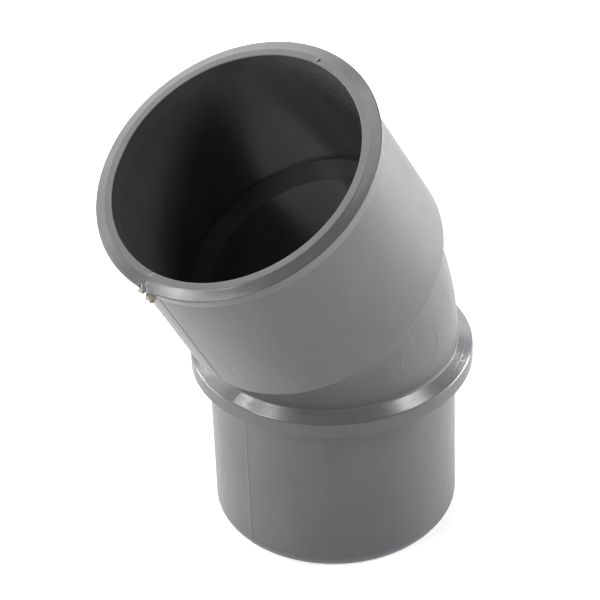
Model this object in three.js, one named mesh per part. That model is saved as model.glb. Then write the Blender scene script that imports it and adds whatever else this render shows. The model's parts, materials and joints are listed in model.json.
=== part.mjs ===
// 30 degree spigot and socket elbow for 50 mm solvent-weld pipe, in millimetres, +Z up.
// The spigot stands upright, pointing down, and the socket leans over towards -X in the XZ plane.
// The origin is the centre of the fitting's footprint box, at the height of the spigot's end.
// The real fitting is one hollow moulding: each mesh is one named section of it, and neighbouring
// sections meet face to face, so that together they make the whole tube.

import * as THREE from 'three';
import { mergeVertices } from 'three/addons/utils/BufferGeometryUtils.js';

// ---------------------------------------------------------------------------------------------
// Driving dimensions
// ---------------------------------------------------------------------------------------------

const SEGMENTS = 72;                // facets round every tube
const BEND_ANGLE = Math.PI / 6;     // between the spigot's axis and the socket's

// Tube radii. PIPE_RADIUS is the nominal pipe: the spigot's outside, and the socket's bore.
const PIPE_RADIUS = 25.0;
const BORE_RADIUS = 22.2;
const NECK_RADIUS = 25.6;
const SOCKET_MOUTH_BORE = 25.1;     // the socket opens slightly towards its mouth

// Heights up the spigot's axis, from its end.
const COLLAR_UNDERSIDE = 35.5;
const COLLAR_BAND_TOP = 38.6;
const COLLAR_TOP = 39.8;
const AXES_MEET = 48.9;             // where the spigot's axis meets the socket's
const TIP_BEVEL_HEIGHT = 1.7;
const TIP_BEVEL_WIDTH = 1.2;
const COLLAR_RADIUS = 28.6;

// Distances along the socket's axis, from where the axes meet.
const ROOT_STEP = 11.5;             // the socket's thick wall ends in a step down to the neck
const PIPE_SHOULDER = 12.9;         // the pipe's end rests on the top of the sloping shoulder
const SHOULDER_FOOT = 9.6;          // where the slope runs out into the bore
const RIM_UNDERSIDE = 44.9;
const RIM_BEVEL_START = 47.7;
const SOCKET_MOUTH = 48.4;

// Radii of the socket's outside.
const BARREL_ROOT_RADIUS = 28.3;
const BARREL_RIM_RADIUS = 27.6;
const RIM_RADIUS = 29.0;
const MOUTH_FLAT_RADIUS = 26.7;     // outer edge of the flat mouth, where the bevel starts

// The stubs left where the mould was fed, on the rim at the inside of the bend.
const UPPER_STUB = { bottom: 46.5, top: 47.5, height: 0.7, width: 0.9 };
const LOWER_STUB = { bottom: 44.0, top: 46.1, height: 1.0, width: 2.0 };
const STUB_TAPER = 0.3;             // each end of a stub slopes in by this much

// ---------------------------------------------------------------------------------------------
// Values worked out from them
// ---------------------------------------------------------------------------------------------

// The bend is an arc that starts at the collar's top and touches both axes. A short straight length
// follows it, up to the foot of the shoulder.
const BEND_TANGENT = AXES_MEET - COLLAR_TOP;
const BEND_RADIUS = BEND_TANGENT / Math.tan(BEND_ANGLE / 2);
const BEND_LENGTH = BEND_RADIUS * BEND_ANGLE;
const BEND_STEPS = 6;
const NECK_LENGTH = BEND_LENGTH + SHOULDER_FOOT - BEND_TANGENT;

// ---------------------------------------------------------------------------------------------
// Material and geometry helpers
// ---------------------------------------------------------------------------------------------

function greyPlastic() {
  return new THREE.MeshStandardMaterial({ color: 0x7c7d80, roughness: 0.42, metalness: 0.0 });
}

function namedMesh(name, geometry) {
  const mesh = new THREE.Mesh(geometry, greyPlastic());
  mesh.name = name;
  return mesh;
}

// A ring turned round the Z axis. The outline is a closed loop of [radius, height] corners, in the
// order up the outside and down the inside.
function turned(outline) {
  const corners = outline.map(([radius, height]) => new THREE.Vector2(radius, height));
  const lathe = new THREE.LatheGeometry([...corners, corners[0].clone()], SEGMENTS);
  lathe.rotateX(Math.PI / 2);
  return weld(lathe);
}

function weld(geometry) {
  geometry.deleteAttribute('normal');
  geometry.deleteAttribute('uv');
  const welded = mergeVertices(geometry, 1e-5);
  welded.computeVertexNormals();
  return welded;
}

// Curls a straight tube, which stands on z = 0 round the Z axis, over towards -X along the bend's arc.
// What is left of it past the arc's end stays straight.
function curled(geometry) {
  const position = geometry.getAttribute('position');
  for (let i = 0; i < position.count; i += 1) {
    const along = Math.min(position.getZ(i), BEND_LENGTH);
    const past = position.getZ(i) - along;
    const angle = along / BEND_RADIUS;
    const reach = BEND_RADIUS + position.getX(i);
    position.setX(i, reach * Math.cos(angle) - BEND_RADIUS - past * Math.sin(angle));
    position.setZ(i, reach * Math.sin(angle) + past * Math.cos(angle));
  }
  geometry.computeVertexNormals();
  return geometry;
}

// ---------------------------------------------------------------------------------------------
// Sections on the spigot's axis
// ---------------------------------------------------------------------------------------------

// The plain male end, with a bevelled tip that leads it into a socket. Its wall runs up inside the
// collar, to where the bend starts.
function makeSpigot() {
  return namedMesh('spigot', turned([
    [PIPE_RADIUS - TIP_BEVEL_WIDTH, 0],
    [PIPE_RADIUS, TIP_BEVEL_HEIGHT],
    [PIPE_RADIUS, COLLAR_TOP],
    [BORE_RADIUS, COLLAR_TOP],
    [BORE_RADIUS, 0],
  ]));
}

// The ring round the spigot's wall that stops the next socket: a straight band under a shallow cone.
function makeStopCollar() {
  return namedMesh('stop_collar', turned([
    [COLLAR_RADIUS, COLLAR_UNDERSIDE],
    [COLLAR_RADIUS, COLLAR_BAND_TOP],
    [NECK_RADIUS, COLLAR_TOP],
    [PIPE_RADIUS, COLLAR_TOP],
    [PIPE_RADIUS, COLLAR_UNDERSIDE],
  ]));
}

// The bent tube between the collar and the root of the socket.
function makeBendNeck() {
  const heights = Array.from({ length: BEND_STEPS + 1 }, (_, i) => (BEND_LENGTH * i) / BEND_STEPS);
  heights.push(NECK_LENGTH);
  const outside = heights.map((height) => [NECK_RADIUS, height]);
  const inside = heights.map((height) => [BORE_RADIUS, height]).reverse();
  const neck = namedMesh('bend_neck', curled(turned([...outside, ...inside])));
  neck.position.z = COLLAR_TOP;
  return neck;
}

// ---------------------------------------------------------------------------------------------
// Sections on the socket's axis, with z = 0 where the two axes meet
// ---------------------------------------------------------------------------------------------

// The root of the socket: a sloping shoulder inside that stops the pipe, and a step outside.
function makePipeStop() {
  return namedMesh('pipe_stop', turned([
    [NECK_RADIUS, SHOULDER_FOOT],
    [NECK_RADIUS, ROOT_STEP],
    [BARREL_ROOT_RADIUS, ROOT_STEP],
    [BARREL_ROOT_RADIUS, PIPE_SHOULDER],
    [PIPE_RADIUS, PIPE_SHOULDER],
    [BORE_RADIUS, SHOULDER_FOOT],
  ]));
}

// The plain wall of the socket, thinning a little towards the rim.
function makeSocketBarrel() {
  return namedMesh('socket_barrel', turned([
    [BARREL_ROOT_RADIUS, PIPE_SHOULDER],
    [BARREL_RIM_RADIUS, RIM_UNDERSIDE],
    [SOCKET_MOUTH_BORE, RIM_UNDERSIDE],
    [PIPE_RADIUS, PIPE_SHOULDER],
  ]));
}

// The thicker band round the mouth: a straight side, a bevel and the flat mouth.
function makeSocketRim() {
  return namedMesh('socket_rim', turned([
    [RIM_RADIUS, RIM_UNDERSIDE],
    [RIM_RADIUS, RIM_BEVEL_START],
    [MOUTH_FLAT_RADIUS, SOCKET_MOUTH],
    [SOCKET_MOUTH_BORE, SOCKET_MOUTH],
    [SOCKET_MOUTH_BORE, RIM_UNDERSIDE],
  ]));
}

// A torn-off stub of plastic standing on the rim's side, at the inside of the bend.
function makeGateStub(name, { bottom, top, height, width }) {
  const side = new THREE.Shape([
    new THREE.Vector2(-RIM_RADIUS, bottom),
    new THREE.Vector2(-RIM_RADIUS, top),
    new THREE.Vector2(-RIM_RADIUS - height, top - STUB_TAPER),
    new THREE.Vector2(-RIM_RADIUS - height, bottom + STUB_TAPER),
  ]);
  const stub = new THREE.ExtrudeGeometry(side, { depth: width, bevelEnabled: false });
  stub.translate(0, 0, -width / 2);
  stub.rotateX(Math.PI / 2);
  return namedMesh(name, weld(stub));
}

// ---------------------------------------------------------------------------------------------
// Assembly
// ---------------------------------------------------------------------------------------------

const socket = new THREE.Group();
socket.add(
  makePipeStop(),
  makeSocketBarrel(),
  makeSocketRim(),
  makeGateStub('gate_stub_upper', UPPER_STUB),
  makeGateStub('gate_stub_lower', LOWER_STUB),
);
socket.position.z = AXES_MEET;
socket.rotation.y = -BEND_ANGLE;

const elbow = new THREE.Group();
elbow.add(makeSpigot(), makeStopCollar(), makeBendNeck(), socket);

// Until here the spigot's axis is x = 0. The footprint's centre moves to x = 0 instead.
const extent = new THREE.Box3().setFromObject(elbow, true);
elbow.position.x = -(extent.min.x + extent.max.x) / 2;

export default elbow;
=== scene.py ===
"""Looks of a 30 degree spigot and socket pipe elbow: one hollow moulding in satin grey PVC.

Each section of the moulding is a ring swept round the elbow's bent centreline. Its outline is drawn
in millimetres, as (radius from the centreline, distance along it from the spigot's end).
"""

import json
import math
from collections import namedtuple

import bmesh
import bpy
from mathutils import Matrix, Vector, noise


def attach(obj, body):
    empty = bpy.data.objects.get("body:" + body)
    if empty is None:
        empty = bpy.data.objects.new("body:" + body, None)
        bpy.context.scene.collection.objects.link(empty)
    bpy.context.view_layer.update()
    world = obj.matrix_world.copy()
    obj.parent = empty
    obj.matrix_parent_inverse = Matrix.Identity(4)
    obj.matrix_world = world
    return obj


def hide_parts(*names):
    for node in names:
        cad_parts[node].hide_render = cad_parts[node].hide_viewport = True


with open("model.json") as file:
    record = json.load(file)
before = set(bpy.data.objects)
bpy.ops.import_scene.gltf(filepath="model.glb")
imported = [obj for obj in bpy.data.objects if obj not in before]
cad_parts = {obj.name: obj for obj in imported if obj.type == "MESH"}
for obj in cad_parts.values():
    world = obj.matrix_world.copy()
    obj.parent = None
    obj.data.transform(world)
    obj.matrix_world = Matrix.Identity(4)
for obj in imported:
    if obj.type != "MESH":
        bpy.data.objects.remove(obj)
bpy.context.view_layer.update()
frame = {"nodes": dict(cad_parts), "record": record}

MM = 0.001
UP = Vector((0, 0, 1))
ACROSS = Vector((0, 1, 0))          # square to the plane of the bend
INSIDE_OF_BEND, OUTSIDE_OF_BEND, FRONT = math.pi, 0.0, -math.pi / 2


# ---------------------------------------------------------------------------------------------
# Sizes, read from the frame
# ---------------------------------------------------------------------------------------------

def corners(node):
    """The corners of a CAD node, in mm, each once."""
    found = {tuple(round(c / MM, 3) for c in v.co) for v in frame["nodes"][node].data.vertices}
    return [Vector(corner) for corner in sorted(found)]


def middle(points):
    return sum(points, Vector((0, 0, 0))) / len(points)


def rings(node, origin, axis):
    """A CAD node's rings of corners, as {distance along the axis: (least, greatest radius)}."""
    radii = {}
    for corner in corners(node):
        along = (corner - origin).dot(axis)
        radii.setdefault(round(along, 1), []).append((corner - origin - along * axis).length)
    return {along: (min(found), max(found)) for along, found in sorted(radii.items())}


foot = middle(corners("spigot")) * Vector((1, 1, 0))
spigot_rings = rings("spigot", foot, UP)
collar_rings = rings("stop_collar", foot, UP)
TIP_TOP, BEND_START = list(spigot_rings)[1:]
TIP = spigot_rings[0][1]
BORE, PIPE = spigot_rings[BEND_START]
COLLAR_BOTTOM, BAND_TOP = list(collar_rings)[:2]
COLLAR = collar_rings[COLLAR_BOTTOM][1]
NECK = collar_rings[BEND_START][1]

mounts = {mount["name"]: mount for mount in frame["record"]["mounts"]}
socket_axis = Vector(mounts["socket_mouth"]["axis"]).normalized()
rim_middle = middle(corners("socket_rim"))
axes_meet = rim_middle - socket_axis * (rim_middle.x - foot.x) / socket_axis.x
stop_rings = rings("pipe_stop", axes_meet, socket_axis)
barrel_rings = rings("socket_barrel", axes_meet, socket_axis)
rim_rings = rings("socket_rim", axes_meet, socket_axis)

BEND_ANGLE = UP.angle(socket_axis)
TANGENT = axes_meet.z - BEND_START
BEND_RADIUS = TANGENT / math.tan(BEND_ANGLE / 2)
BEND_END = BEND_START + BEND_RADIUS * BEND_ANGLE


def up_socket(distance):
    """Distance along the centreline of a point on the socket's axis, measured from axes_meet."""
    return BEND_END + distance - TANGENT


SHOULDER_FOOT, STEP, SHOULDER = map(up_socket, stop_rings)
RIM_BOTTOM, BEVEL, MOUTH = map(up_socket, rim_rings)
(SEAT, ROOT), (MOUTH_BORE, BARREL) = barrel_rings.values()
RIM = max(rim_rings.values())[1]
FLAT = list(rim_rings.values())[-1][1]


def centre_and_out(along):
    """The centreline's point at a distance along it, and the direction away from the bend there."""
    tilt = min(max(along - BEND_START, 0) / BEND_RADIUS, BEND_ANGLE)
    below, beyond = min(along, BEND_START), max(along - BEND_END, 0)
    x = -BEND_RADIUS * (1 - math.cos(tilt)) - beyond * math.sin(tilt)
    z = below + BEND_RADIUS * math.sin(tilt) + beyond * math.cos(tilt)
    return foot + Vector((x, 0, z)), Vector((math.cos(tilt), 0, math.sin(tilt)))


# ---------------------------------------------------------------------------------------------
# Outlines
# ---------------------------------------------------------------------------------------------

SUPPORT = 0.05                      # a ring this close to each edge keeps the shading crisp
ARC_STEPS = 6

Spot = namedtuple("Spot", "radius along normal sharp")


def arc(before, corner, after, fillet):
    """A corner rounded to the fillet's radius."""
    back, on = (before - corner).normalized(), (after - corner).normalized()
    half = back.angle(on) / 2
    centre = corner + (back + on).normalized() * fillet / math.sin(half)
    reach = fillet / math.tan(half)
    start, end = corner + back * reach - centre, corner + on * reach - centre
    turn = start.angle(end)
    for k in range(ARC_STEPS + 1):
        part = k / ARC_STEPS * turn
        yield centre + (start * math.sin(turn - part) + end * math.sin(part)) / math.sin(turn)


def stretch(start, end, spacing):
    """Points between two points: one close to each end, and evenly spaced ones between those."""
    length = (end - start).length
    if length < 4 * SUPPORT:
        return []
    steps = max(1, round((length - 2 * SUPPORT) / spacing))
    places = [SUPPORT + (length - 2 * SUPPORT) * k / steps for k in range(steps + 1)]
    return [start.lerp(end, place / length) for place in places]


def skin(spacing, *corners_and_fillets):
    """A stretch of the outline that shows. Each corner is (radius, along, fillet's radius)."""
    line = [Vector(corner[:2]) for corner in corners_and_fillets]
    rounded = [line[0]]
    for i in range(1, len(line) - 1):
        rounded += arc(line[i - 1], line[i], line[i + 1], corners_and_fillets[i][2])
    rounded.append(line[-1])
    points = [rounded[0]]
    for start, end in zip(rounded, rounded[1:]):
        points += [*stretch(start, end, spacing), end]
    spots = []
    for i, point in enumerate(points):
        way = points[min(i + 1, len(points) - 1)] - points[max(i - 1, 0)]
        normal = Vector((way.y, -way.x)).normalized()
        spots.append(Spot(point.x, point.y, normal, i in (0, len(points) - 1)))
    return spots


def joint(*places):
    """Corners of the outline that are inside the moulding, where two sections meet."""
    return [Spot(radius, along, Vector((0, 0)), True) for radius, along in places]


# ---------------------------------------------------------------------------------------------
# What the mould left on the surface
# ---------------------------------------------------------------------------------------------

RIDGE_HEIGHT, RIDGE_REACH = 0.05, 1.3       # the two halves meet in a low ridge
FLASH_HEIGHT, FLASH_REACH = 0.05, 0.12      # with a fine line of flash along it
FACE_SHARE = 0.35                           # how much of that is left on faces square to the tube
GROOVE_DEPTH, GROOVE_REACH = 0.22, 0.2      # which is a groove instead up the inside of the socket,
GROOVE_START, GROOVE_END = STEP + 1, RIM_BOTTOM - 0.3       # between these two places
FLASH_VARIES = 0.5                          # share by which the flash and the groove come and go
WAVE_HEIGHT, WAVE_LENGTH = 0.02, 14         # slight unevenness of the whole surface
OUTSIDE_FADE = 0.4                          # radius over which the relief of the outside sets in
SIZE_MARGIN = 0.2                           # nothing is raised this close to the overall size's faces
MARK_RADIUS, MARK_DEPTH, MARK_EDGE = 5.0, 0.06, 0.25
MARK_ALONG = (BEND_START + BEND_END) / 2
MARK_REACH = math.radians(12.6)

# Small pits, and one bump with a depth below 0. A dent's offset is its distance round from the
# parting plane, in mm.
Dent = namedtuple("Dent", "radius along side offset size depth")
DENT_REACH = 3
DENTS = [
    Dent(MOUTH_BORE + 1.1, MOUTH, OUTSIDE_OF_BEND, -0.7, 0.24, 0.35),
    Dent(MOUTH_BORE + 0.9, MOUTH, OUTSIDE_OF_BEND, -0.2, 0.22, -0.12),
    Dent(MOUTH_BORE + 0.45, MOUTH, INSIDE_OF_BEND, -0.2, 0.32, 0.2),
    Dent(RIM - 0.2, BEVEL, INSIDE_OF_BEND, -0.95, 0.28, 0.36),
    Dent(RIM - 0.1, BEVEL, INSIDE_OF_BEND, 0.6, 0.25, 0.34),
]


def ease(value, low, high):
    """0 below low, 1 above high, and a smooth rise between them."""
    part = min(max((value - low) / (high - low), 0), 1)
    return part * part * (3 - 2 * part)


def squareness(spot):
    """0 on faces that run along the tube, 1 on faces square to it."""
    return ease(abs(spot.normal.y), 0.6, 0.9)


def inwardness(spot):
    """0 on the outside, 1 on faces that look in at the centreline."""
    return ease(-spot.normal.x, 0.3, 0.7)


def parting(spot, around):
    """Relief along the plane of the bend, where the two halves of the mould met."""
    off = abs(spot.radius * math.sin(around))
    if off > RIDGE_REACH:
        return 0
    uneven = 1 + FLASH_VARIES * noise.noise(Vector((math.cos(around) * 3, 0, spot.along * 0.8)))
    ridge = RIDGE_HEIGHT * (1 - off / RIDGE_REACH) ** 2
    line = math.exp(-((off / FLASH_REACH) ** 2)) * FLASH_HEIGHT * uneven
    if math.cos(around) < 0 and GROOVE_START < spot.along < GROOVE_END:
        line = -GROOVE_DEPTH * math.exp(-((off / GROOVE_REACH) ** 2)) * uneven
    return (ridge + line) * (1 + (FACE_SHARE - 1) * squareness(spot))


def round_mark(spot, around):
    """A round, slightly sunk mark, such as an insert in the mould leaves."""
    away = math.hypot(NECK * (around - FRONT), spot.along - MARK_ALONG)
    return -MARK_DEPTH * (1 - ease(away, MARK_RADIUS - MARK_EDGE, MARK_RADIUS + MARK_EDGE))


def relief(spot, around, outside_from):
    """How far the moulded surface stands off the plain outline, in mm."""
    turning = Vector((math.cos(around), math.sin(around), 0)) * spot.radius
    wave = noise.noise((turning + UP * spot.along) / WAVE_LENGTH)
    outside = ease(spot.radius, outside_from, outside_from + OUTSIDE_FADE)
    height = (WAVE_HEIGHT * wave + parting(spot, around)) * outside
    inside_size = SIZE_MARGIN <= spot.along <= MOUTH - SIZE_MARGIN
    if spot.radius > COLLAR - SIZE_MARGIN or not inside_size:
        height = min(height, 0)
    if spot.along < STEP and abs(around - FRONT) < MARK_REACH:
        height += round_mark(spot, around) * outside
    for dent in DENTS:
        turn = math.remainder(around - dent.side, math.tau) * spot.radius - dent.offset
        if abs(turn) + abs(spot.along - dent.along) < DENT_REACH:
            away = Vector((spot.radius - dent.radius, spot.along - dent.along, turn))
            height -= dent.depth * math.exp(-((away.length / dent.size) ** 2))
    return height


# ---------------------------------------------------------------------------------------------
# Meshes
# ---------------------------------------------------------------------------------------------

EVEN_STEPS = 240
PARTING_STEP, PARTING_REACH, MARK_STEP = 0.15, 2.7, 0.36        # degrees


def section_angles():
    """Angles round a section: even steps, with closer ones at the parting plane and the mark."""
    degrees = [-180 + 360 * k / EVEN_STEPS for k in range(EVEN_STEPS)]
    near = [(-180, PARTING_STEP, PARTING_REACH), (0, PARTING_STEP, PARTING_REACH),
            (math.degrees(FRONT), MARK_STEP, math.degrees(MARK_REACH))]
    for centre, spacing, reach in near:
        degrees = [d for d in degrees if abs(math.remainder(d - centre, 360)) > reach + spacing / 2]
        count = round(reach / spacing)
        degrees += [math.remainder(centre + spacing * k, 360) for k in range(-count, count + 1)]
    return [math.radians(d) for d in sorted(degrees)]


ANGLES = section_angles()

TIP_FILLET = 3.0                    # where the spigot's tapered tip runs into its side
UNDERSIDE_FILLET = 0.4              # in the corner under the collar
RIM_FILLET = 0.5                    # in the corner under the rim
RIM_DRAFT = 0.55                    # the rim's side leans in by this much towards the barrel
LEAD_IN = MOUTH_BORE + 0.15         # the mouth is a little wider than the bore inside the rim
NECK_JOINT = BEND_START + 0.7       # the collar's skin runs up to here on the neck
CONE_START = BAND_TOP - 0.5         # the cone and the rounded edge under it are above this


def cone_feed(spot):
    """How far in from the collar's edge a spot is, on its cone, which was turned with a coarse feed."""
    return COLLAR - spot.radius if CONE_START < spot.along <= NECK_JOINT else 0


def make_section(name, *runs, outside_from=0.0):
    """A closed ring for one section, with the relief on its skin outside the given radius."""
    spots = [spot for run in runs for spot in run]
    count, turns = len(spots), len(ANGLES)
    places, straight, facing, inside, feed = [], [], [], [], []
    for spot in spots:
        for around in ANGLES:
            height = relief(spot, around, outside_from) if spot.normal.length else 0
            radius = spot.radius + spot.normal.x * height
            centre, out = centre_and_out(spot.along + spot.normal.y * height)
            spoke = math.cos(around) * out + math.sin(around) * ACROSS
            places.append((centre + radius * spoke) * MM)
            straight += [radius * math.cos(around), radius * math.sin(around), spot.along]
            facing.append(squareness(spot))
            inside.append(inwardness(spot))
            feed.append(cone_feed(spot))
    faces = []
    for i in range(count):
        for j in range(turns):
            low, high, on = i * turns, (i + 1) % count * turns, (j + 1) % turns
            faces.append((low + j, low + on, high + on, high + j))
    mesh = bpy.data.meshes.new(name)
    mesh.from_pydata(places, [], faces)
    mesh.attributes.new("straight", "FLOAT_VECTOR", "POINT").data.foreach_set("vector", straight)
    mesh.attributes.new("turned_face", "FLOAT", "POINT").data.foreach_set("value", facing)
    mesh.attributes.new("bore_face", "FLOAT", "POINT").data.foreach_set("value", inside)
    mesh.attributes.new("cone_feed", "FLOAT", "POINT").data.foreach_set("value", feed)
    mesh.polygons.foreach_set("use_smooth", [True] * len(faces))
    for edge in mesh.edges:
        first, second = (v // turns for v in edge.vertices)
        edge.use_edge_sharp = first == second and spots[first].sharp
    mesh.update()
    piece = bpy.data.objects.new(name, mesh)
    bpy.context.scene.collection.objects.link(piece)
    return piece


def make_spigot():
    return make_section(
        "spigot_skin",
        skin(1.5, (BORE, BEND_START), (BORE, 0, 0.25), (TIP, 0, 0.2), (PIPE, TIP_TOP, TIP_FILLET),
             (PIPE, COLLAR_BOTTOM - UNDERSIDE_FILLET)),
        joint((PIPE, BEND_START)),
        outside_from=TIP)


def make_collar():
    return make_section(
        "collar_skin",
        joint((PIPE, BEND_START), (PIPE, COLLAR_BOTTOM)),
        skin(0.3, (PIPE, COLLAR_BOTTOM - UNDERSIDE_FILLET), (PIPE, COLLAR_BOTTOM, UNDERSIDE_FILLET * 0.9),
             (COLLAR, COLLAR_BOTTOM, 0.25), (COLLAR, BAND_TOP, 0.3), (NECK, BEND_START, 0.12),
             (NECK, NECK_JOINT)),
        joint((PIPE, NECK_JOINT)))


def make_neck():
    return make_section(
        "neck_skin",
        joint((PIPE, NECK_JOINT)),
        skin(0.16, (NECK, NECK_JOINT), (NECK, SHOULDER_FOOT)),
        skin(0.6, (BORE, SHOULDER_FOOT), (BORE, BEND_START)),
        joint((PIPE, BEND_START)),
        outside_from=BORE + 1)


def make_pipe_stop():
    return make_section(
        "pipe_stop_skin",
        skin(0.3, (NECK, SHOULDER_FOOT), (NECK, STEP, 0.3), (ROOT, STEP, 0.45), (ROOT, SHOULDER)),
        skin(0.3, (SEAT, SHOULDER), (SEAT - 0.05, SHOULDER - 0.1, 0.2), (BORE, SHOULDER_FOOT + 0.4, 0.3),
             (BORE, SHOULDER_FOOT)),
        outside_from=SEAT + 0.1)


def make_barrel():
    return make_section(
        "socket_barrel_skin",
        skin(1.0, (ROOT, SHOULDER), (BARREL, RIM_BOTTOM - RIM_FILLET)),
        skin(1.0, (SEAT, RIM_BOTTOM - RIM_FILLET), (SEAT, SHOULDER)),
        outside_from=MOUTH_BORE + 1)


def make_rim():
    return make_section(
        "socket_rim_skin",
        skin(0.25, (BARREL, RIM_BOTTOM - RIM_FILLET), (BARREL, RIM_BOTTOM, RIM_FILLET * 0.8),
             (RIM - RIM_DRAFT, RIM_BOTTOM, 0.35), (RIM, BEVEL, 0.25), (FLAT, MOUTH, 0.6),
             (LEAD_IN, MOUTH, 0.2), (SEAT, RIM_BOTTOM, 0.2), (SEAT, RIM_BOTTOM - RIM_FILLET)),
        outside_from=MOUTH_BORE + 0.15)


# ---------------------------------------------------------------------------------------------
# Torn stubs where the mould was fed
# ---------------------------------------------------------------------------------------------

TEAR_ROOM = 0.08                    # the tears stay this far inside the CAD stubs' reach
TEAR_ROUNDNESS = 0.72               # 1 for a ball, nearer 0 for a box
TEAR_RAGGEDNESS, TEAR_FINENESS = 0.3, 1.3
noise.seed_set(2)                   # Blender's vector noise takes its seed from the clock otherwise


def make_stub(name, node, roots, spread, hang, drop, shift, seed):
    """A lump of torn plastic in a CAD stub's place, with its root sunk into the rim.

    roots is how deep it goes into the rim, in mm, and spread is its width as a share of the CAD stub's.
    hang is how much it narrows towards its lower end. drop and shift move it down the socket and
    across, in mm, and seed picks its shape.
    """
    outwards = -centre_and_out(MOUTH)[1]
    reach = [(c - axes_meet).dot(outwards) for c in corners(node)]
    along = [(c - axes_meet).dot(socket_axis) for c in corners(node)]
    half_width = max(c.y for c in corners(node)) * spread
    low, high, bottom, top = RIM - roots, max(reach) - TEAR_ROOM, min(along) - drop, max(along) - drop
    lump = bmesh.new()
    bmesh.ops.create_icosphere(lump, subdivisions=5, radius=1)
    for vert in lump.verts:
        squared = Vector([math.copysign(abs(c) ** TEAR_ROUNDNESS, c) for c in vert.co])
        place = vert.co * TEAR_FINENESS + Vector((seed, 0, 0))
        ragged = noise.turbulence_vector(place, 3, False) * TEAR_RAGGEDNESS
        shape = squared + ragged
        shape = Vector([min(max(c, -1), 1) for c in shape])
        narrowing = 1 - hang * ease(-shape.z, -0.3, 1.0)
        stands = (low + high) / 2 + (high - low) / 2 * (shape.x * narrowing - (1 - narrowing) * 0.2)
        level = (bottom + top) / 2 + (top - bottom) / 2 * shape.z
        sideways = half_width * shape.y * narrowing + shift
        vert.co = (axes_meet + outwards * stands + socket_axis * level + ACROSS * sideways) * MM
    for face in lump.faces:
        face.smooth = True
    # Outwards, across and the axis are a left-handed set, which turned the sphere's faces inwards.
    bmesh.ops.reverse_faces(lump, faces=lump.faces)
    mesh = bpy.data.meshes.new(name)
    lump.to_mesh(mesh)
    lump.free()
    piece = bpy.data.objects.new(name, mesh)
    bpy.context.scene.collection.objects.link(piece)
    return piece


# ---------------------------------------------------------------------------------------------
# Materials
# ---------------------------------------------------------------------------------------------

class Surface:
    """A Principled material, and short ways to add and join its nodes."""

    def __init__(self, name):
        self.material = bpy.data.materials.new(name)
        self.material.use_nodes = True
        self.tree = self.material.node_tree
        self.shader = self.tree.nodes["Principled BSDF"]

    def node(self, kind, inputs=None, **settings):
        made = self.tree.nodes.new("ShaderNode" + kind)
        for key, value in settings.items():
            setattr(made, key, value)
        for socket, value in (inputs or {}).items():
            if isinstance(value, bpy.types.NodeSocket):
                self.tree.links.new(value, made.inputs[socket])
            else:
                made.inputs[socket].default_value = value
        return made

    def set(self, **values):
        for name, value in values.items():
            socket = self.shader.inputs[name.replace("_", " ")]
            if isinstance(value, bpy.types.NodeSocket):
                self.tree.links.new(value, socket)
            else:
                socket.default_value = value

    def attribute(self, name):
        return self.node("Attribute", attribute_name=name)

    def grain(self, vector, scale, detail=2.0, stretch=(1, 1, 1)):
        """Noise from 0 to 1, with its place stretched."""
        placed = self.node("Mapping", {"Vector": vector, "Scale": stretch}, vector_type="POINT")
        return self.node("TexNoise", {"Vector": placed.outputs["Vector"], "Scale": scale,
                                      "Detail": detail}).outputs["Fac"]

    def between(self, value, low, high):
        """The value's 0 to 1 mapped to low to high."""
        return self.node("MapRange", {"Value": value, "To Min": low, "To Max": high}).outputs["Result"]

    def blend(self, share, first, second):
        """Two values mixed. A Mix node has its own sockets for values and for colours."""
        return self.node("Mix", {0: share, 2: first, 3: second}, data_type="FLOAT").outputs[0]

    def blend_colours(self, share, first, second):
        return self.node("Mix", {0: share, 6: first, 7: second}, data_type="RGBA").outputs[2]

    def bump(self, height, strength, depth, under=None):
        """A bump with a depth in mm, on top of the bump under it."""
        inputs = {"Height": height, "Strength": strength, "Distance": depth * MM}
        if under is not None:
            inputs["Normal"] = under
        return self.node("Bump", inputs).outputs["Normal"]

    def colours(self, value, *stops):
        """The value's 0 to 1 mapped to colours. Each stop is (place, colour)."""
        ramp = self.node("ValToRGB", {"Fac": value})
        elements = ramp.color_ramp.elements
        elements[0].position, elements[1].position = stops[0][0], stops[-1][0]
        for place, _ in stops[1:-1]:
            elements.new(place)
        for element, (_, colour) in zip(elements, stops):
            element.color = (*colour, 1)
        return ramp.outputs["Color"]


# Greys from the mottle's darkest to its lightest, as (place, colour). Depths and pitches are in mm.
GREY = (0.3, (0.056, 0.058, 0.061)), (0.7, (0.066, 0.068, 0.072))
CONE_PAINTED_LIGHT_GREY = (0.3, (0.112, 0.115, 0.120)), (0.7, (0.124, 0.127, 0.132))       # painted light: paler on the collar's cone, shaded by the socket
PAINTED_LIGHT_EDGE = 0.3                      # the painted light sets in over this much of the collar's cone
GRAIN_DEPTH = 0.2                   # of the moulded surface's fine grain, faint at its low strength
TURNED_DEPTH = 0.03                 # fine rings on the faces square to the tube
FEED_PITCH, FEED_SLOPE = 0.3, 0.466             # saw-tooth turning marks on the collar's cone


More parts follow.
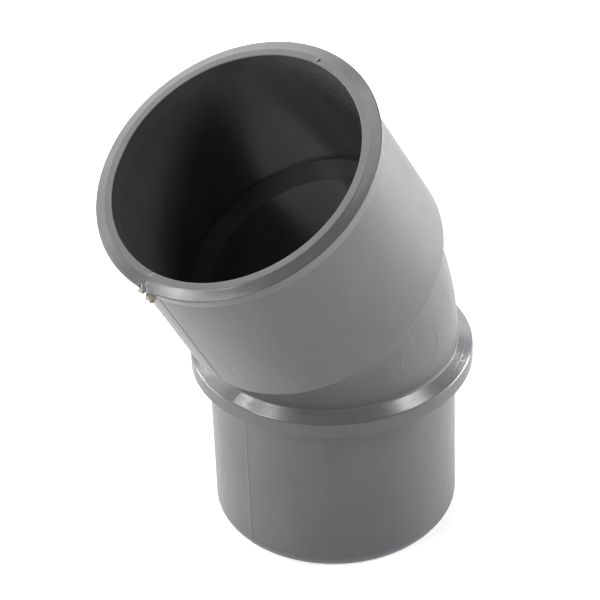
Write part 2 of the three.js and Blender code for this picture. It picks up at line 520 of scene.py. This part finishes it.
def grey_pvc():
    """Satin grey PVC: faintly mottled and drawn along the tube, glossier and turned on its ends."""
    s = Surface("grey_pvc")
    straight = s.attribute("straight").outputs["Vector"]
    turned_face = s.attribute("turned_face").outputs["Fac"]
    bore_face = s.attribute("bore_face").outputs["Fac"]
    feed = s.attribute("cone_feed").outputs["Fac"]

    mottle = s.grain(straight, 0.16, 4.0, (1, 1, 0.5))
    # Painted light: the collar's cone is coloured paler, standing in for the light its middle misses in
    # the socket's shade.
    painted_light_share = s.node("MapRange", {"Value": feed, "From Max": PAINTED_LIGHT_EDGE}).outputs["Result"]
    s.set(Base_Color=s.blend_colours(painted_light_share, s.colours(mottle, *GREY), s.colours(mottle, *CONE_PAINTED_LIGHT_GREY)))

    drawn = s.grain(straight, 1.2, 3.0, (1, 1, 0.12))
    body = s.between(drawn, 0.34, 0.5)
    ends = s.between(s.grain(straight, 0.35, 3.0), 0.16, 0.3)
    outside = s.blend(turned_face, body, ends)
    s.set(Roughness=s.blend(bore_face, outside, s.between(drawn, 0.12, 0.24)), IOR=1.5)

    grained = s.bump(s.grain(straight, 4.5, 2.0), 0.05, GRAIN_DEPTH)
    across = s.node("VectorMath", {0: straight, 1: (1, 1, 0)}, operation="MULTIPLY").outputs["Vector"]
    radius = s.node("VectorMath", {0: across}, operation="LENGTH").outputs["Value"]
    uneven = s.node("TexNoise", {"W": radius, "Scale": 3.0, "Detail": 3.0}, noise_dimensions="1D")
    marks = s.node("Math", {0: uneven.outputs["Fac"], 1: turned_face}, operation="MULTIPLY")
    turned = s.bump(marks.outputs[0], 0.5, TURNED_DEPTH, grained)
    turns = s.node("Math", {0: feed, 1: FEED_PITCH}, operation="DIVIDE")
    tooth = s.node("Math", {0: turns.outputs[0]}, operation="FRACT")
    s.set(Normal=s.bump(tooth.outputs[0], 1.0, FEED_PITCH * FEED_SLOPE, turned))
    return s.material


def torn_pvc():
    """Stress-whitened, slightly yellowed PVC where the feed was torn off."""
    s = Surface("torn_pvc")
    place = s.node("TexCoord").outputs["Object"]
    patches = s.grain(place, 900, 4.0)
    s.set(Base_Color=s.colours(patches, (0.35, (0.12, 0.105, 0.07)), (0.5, (0.21, 0.19, 0.13)),
                               (0.65, (0.34, 0.335, 0.26))))
    s.set(Roughness=s.between(patches, 0.45, 0.8))
    s.set(Normal=s.bump(s.grain(place, 4000, 3.0), 0.5, 0.1))
    return s.material


# ---------------------------------------------------------------------------------------------
# Assembly
# ---------------------------------------------------------------------------------------------

skins = {
    "spigot": make_spigot(),
    "stop_collar": make_collar(),
    "bend_neck": make_neck(),
    "pipe_stop": make_pipe_stop(),
    "socket_barrel": make_barrel(),
    "socket_rim": make_rim(),
}
stubs = {
    "gate_stub_upper": make_stub("upper_stub_tear", "gate_stub_upper", roots=1.0, spread=2.0,
                                 hang=0.25, drop=0.15, shift=0.65, seed=3),
    "gate_stub_lower": make_stub("lower_stub_tear", "gate_stub_lower", roots=0.9, spread=1.0,
                                 hang=0.6, drop=0.3, shift=-0.5, seed=8),
}
for pieces, slot, finish in ((skins, "grey_pvc", grey_pvc()), (stubs, "torn_pvc", torn_pvc())):
    for node, piece in pieces.items():
        piece.data.materials.append(finish)
        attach(piece, "root")
        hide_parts(node)


# ---------------------------------------------------------------------------------------------
# Floor, light and camera
# ---------------------------------------------------------------------------------------------

def towards(azimuth, elevation):
    """The direction of an azimuth, with 0 at -Y and 90 at +X, and an elevation, in degrees."""
    a, e = math.radians(azimuth), math.radians(elevation)
    return Vector((math.sin(a) * math.cos(e), -math.cos(a) * math.cos(e), math.sin(e)))


FLOOR_WHITE = 0.82
FLOOR_GLOW = 0.45                   # a lit table, so that the elbow's shadow stays faint


def make_floor(half_side=4.0):
    sheet = bpy.data.meshes.new("floor")
    sheet.from_pydata([(x * half_side, y * half_side, 0) for x, y in ((-1, -1), (1, -1), (1, 1), (-1, 1))],
                      [], [(0, 1, 2, 3)])
    floor = bpy.data.objects.new("floor", sheet)
    bpy.context.scene.collection.objects.link(floor)
    s = Surface("floor_white")
    s.set(Base_Color=(FLOOR_WHITE, FLOOR_WHITE, FLOOR_WHITE, 1), Roughness=0.9)
    s.set(Emission_Color=(1, 1, 1, 1), Emission_Strength=FLOOR_GLOW)
    floor.data.materials.append(s.material)


def make_sky(strength):
    world = bpy.data.worlds.new("studio")
    world.use_nodes = True
    world.node_tree.nodes["Background"].inputs["Color"].default_value = (1, 1, 1, 1)
    world.node_tree.nodes["Background"].inputs["Strength"].default_value = strength
    bpy.context.scene.world = world


# Softboxes, with sizes in metres and power in watts. The low ones brighten the sides. right_high and
# left_high make the two bright fans on the collar's cone, and left_edge the bright spot on the rim's
# bevel. The others light the mouth and the rest of the bevel.
Softbox = namedtuple("Softbox", "name azimuth elevation width height power")
SOFTBOX_DISTANCE = 1.2
SOFTBOXES = [
    Softbox("right_low", 60, 3, 0.9, 0.22, 21.5),
    Softbox("right_high", 29, 43, 0.38, 0.32, 7.4),
    Softbox("left_low", -150, 5.2, 0.85, 0.27, 15.0),
    Softbox("left_panel", -154, 24, 0.36, 0.14, 0.8),
    Softbox("left_high", -101, 35, 0.32, 0.3, 6.8),
    Softbox("left_edge", -127, 37, 0.16, 0.14, 2.4),
    Softbox("back_panel", 155, 34, 1.7, 0.8, 14.6),
    Softbox("top_box", -170, 60, 0.9, 0.6, 4.5),
    Softbox("ceiling_box", 165, 76, 0.6, 0.6, 3.9),
]


def make_softbox(softbox):
    """A rectangular softbox facing the middle of the elbow."""
    lamp = bpy.data.lights.new(softbox.name, "AREA")
    lamp.shape, lamp.size, lamp.size_y = "RECTANGLE", softbox.width, softbox.height
    lamp.energy = softbox.power
    box = bpy.data.objects.new(softbox.name, lamp)
    way = towards(softbox.azimuth, softbox.elevation)
    box.location = axes_meet * MM + way * SOFTBOX_DISTANCE
    box.rotation_mode = "QUATERNION"
    box.rotation_quaternion = way.to_track_quat("Z", "Y")
    bpy.context.scene.collection.objects.link(box)


# The photograph's viewpoint, in degrees, metres and, for the lens, millimetres.
VIEW_AZIMUTH, VIEW_ELEVATION, VIEW_ROLL = -44.715, 33.872, -2.238
VIEW_DISTANCE, VIEW_SIDE = 0.5162, -0.00604
VIEW_LENS, SENSOR_WIDTH = 154.654, 36


def make_camera():
    camera = bpy.data.objects.new("camera", bpy.data.cameras.new("camera"))
    camera.data.lens, camera.data.sensor_width = VIEW_LENS, SENSOR_WIDTH
    back = towards(VIEW_AZIMUTH, VIEW_ELEVATION)
    right = UP.cross(back).normalized()
    turn = Matrix.Rotation(math.radians(VIEW_ROLL), 3, back)
    axes = turn @ Matrix((right, back.cross(right), back)).transposed()
    aim = axes_meet * MM + right * VIEW_SIDE
    camera.matrix_world = Matrix.LocRotScale(aim + back * VIEW_DISTANCE, axes.to_quaternion(), None)
    camera.data.clip_start, camera.data.clip_end = 0.01, 20
    bpy.context.scene.collection.objects.link(camera)
    bpy.context.scene.camera = camera


make_floor()
make_sky(0.04)
for softbox in SOFTBOXES:
    make_softbox(softbox)
make_camera()
bpy.context.scene.view_settings.view_transform = "Standard"
